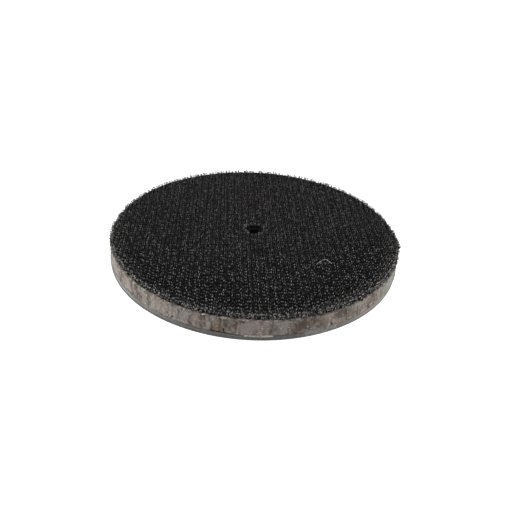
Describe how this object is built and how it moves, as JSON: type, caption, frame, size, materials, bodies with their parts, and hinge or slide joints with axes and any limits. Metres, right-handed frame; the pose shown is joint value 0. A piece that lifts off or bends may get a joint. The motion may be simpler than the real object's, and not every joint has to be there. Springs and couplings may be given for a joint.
{
  "type": "sanding pad",
  "caption": "Round hook-and-loop backing pad for a random orbital sander: hook cloth on foam, a stiff plate, and a riveted steel hub with a threaded stud.",
  "frame": {"origin": "on the spindle stud's axis, in the plane of the hex collar's seat face, where the thread begins", "axes": "+Z along the stud's axis, from the thread towards the hook face; +X through one rivet"},
  "size_m": [0.125, 0.125, 0.03],
  "materials": {
    "stud_steel": "black oxide over turned steel, lightly oiled",
    "plated_steel": "zinc plated, slightly dull",
    "rivet_steel": "zinc plated, with tool marks on the heads",
    "plate_laminate": "glass-fibre laminate, dark grey, with a faint weave",
    "glue": "cured glue, pale, semi-gloss",
    "foam": "urethane foam, grey-brown, streaked and pitted at the cut side",
    "hook_nylon": "black woven nylon with upright hooks"
  },
  "bodies": {
    "root": {"spindle_stud": "stud_steel", "hub_flange": "plated_steel", "clinch_plate": "plated_steel", "hub_rivets": "rivet_steel", "backing_plate": "plate_laminate", "plate_adhesive": "glue", "foam_cushion": "foam", "cloth_adhesive": "glue", "hook_cloth": "hook_nylon", "hook_pile": "hook_nylon"}
  },
  "joints": []
}
